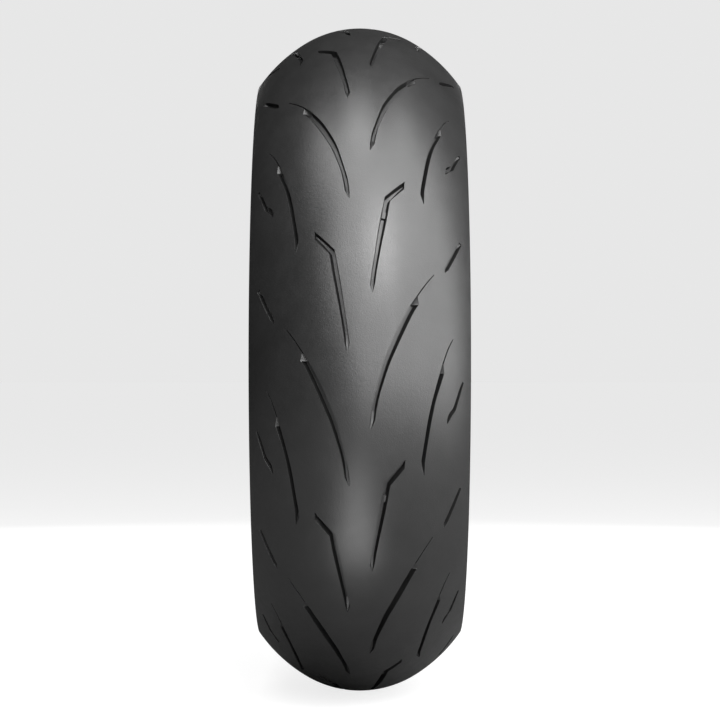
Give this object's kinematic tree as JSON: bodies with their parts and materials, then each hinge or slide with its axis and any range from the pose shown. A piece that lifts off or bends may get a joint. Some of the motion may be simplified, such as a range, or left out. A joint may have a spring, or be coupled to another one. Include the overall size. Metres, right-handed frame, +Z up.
{
  "type": "motorcycle tyre",
  "caption": "Radial rear motorcycle tyre with a round crown, long curved tread grooves in mirrored staggered halves, and its inner layers: belt, plies, liner and beads.",
  "frame": {"origin": "centre of the wheel: on the axis of rotation, in the mid-plane of the tyre", "axes": "+Y along the axis of rotation, to the right seen from the front; +Z up; +X forwards, out of the tread towards the camera of the picture"},
  "size_m": [0.6408, 0.1918, 0.6408],
  "materials": {
    "tread_rubber": "satin moulded rubber, fine grain",
    "shoulder_rubber": "satin moulded rubber, fine grain",
    "sidewall_rubber": "satin moulded rubber",
    "strip_rubber": "smooth moulded rubber",
    "base_rubber": "dull rubber",
    "gum_rubber": "dull rubber",
    "filler_rubber": "dull hard rubber",
    "liner_rubber": "smooth airtight rubber",
    "ply_fabric": "rubber-coated textile cord",
    "chafer_fabric": "woven fabric in rubber",
    "wrap_fabric": "woven tape in rubber",
    "belt_steel": "brass-plated steel cord",
    "bead_wire": "bronze-plated steel wire"
  },
  "bodies": {
    "root": {"bead_core_left": "bead_wire", "bead_core_right": "bead_wire", "bead_filler_left": "filler_rubber", "bead_filler_right": "filler_rubber", "bead_gum_left": "gum_rubber", "bead_gum_right": "gum_rubber", "bead_wrap_left": "wrap_fabric", "bead_wrap_right": "wrap_fabric", "belt_cord": "belt_steel", "belt_edge_cushion_left": "gum_rubber", "belt_edge_cushion_right": "gum_rubber", "belt_gum": "gum_rubber", "carcass_ply_inner": "ply_fabric", "carcass_ply_outer": "ply_fabric", "chafer_left": "chafer_fabric", "chafer_right": "chafer_fabric", "inner_liner": "liner_rubber", "rim_strip_left": "strip_rubber", "rim_strip_right": "strip_rubber", "sidewall_left": "sidewall_rubber", "sidewall_right": "sidewall_rubber", "tread_base": "base_rubber", "tread_centre": "tread_rubber", "tread_shoulder_left": "shoulder_rubber", "tread_shoulder_right": "shoulder_rubber"}
  },
  "joints": []
}
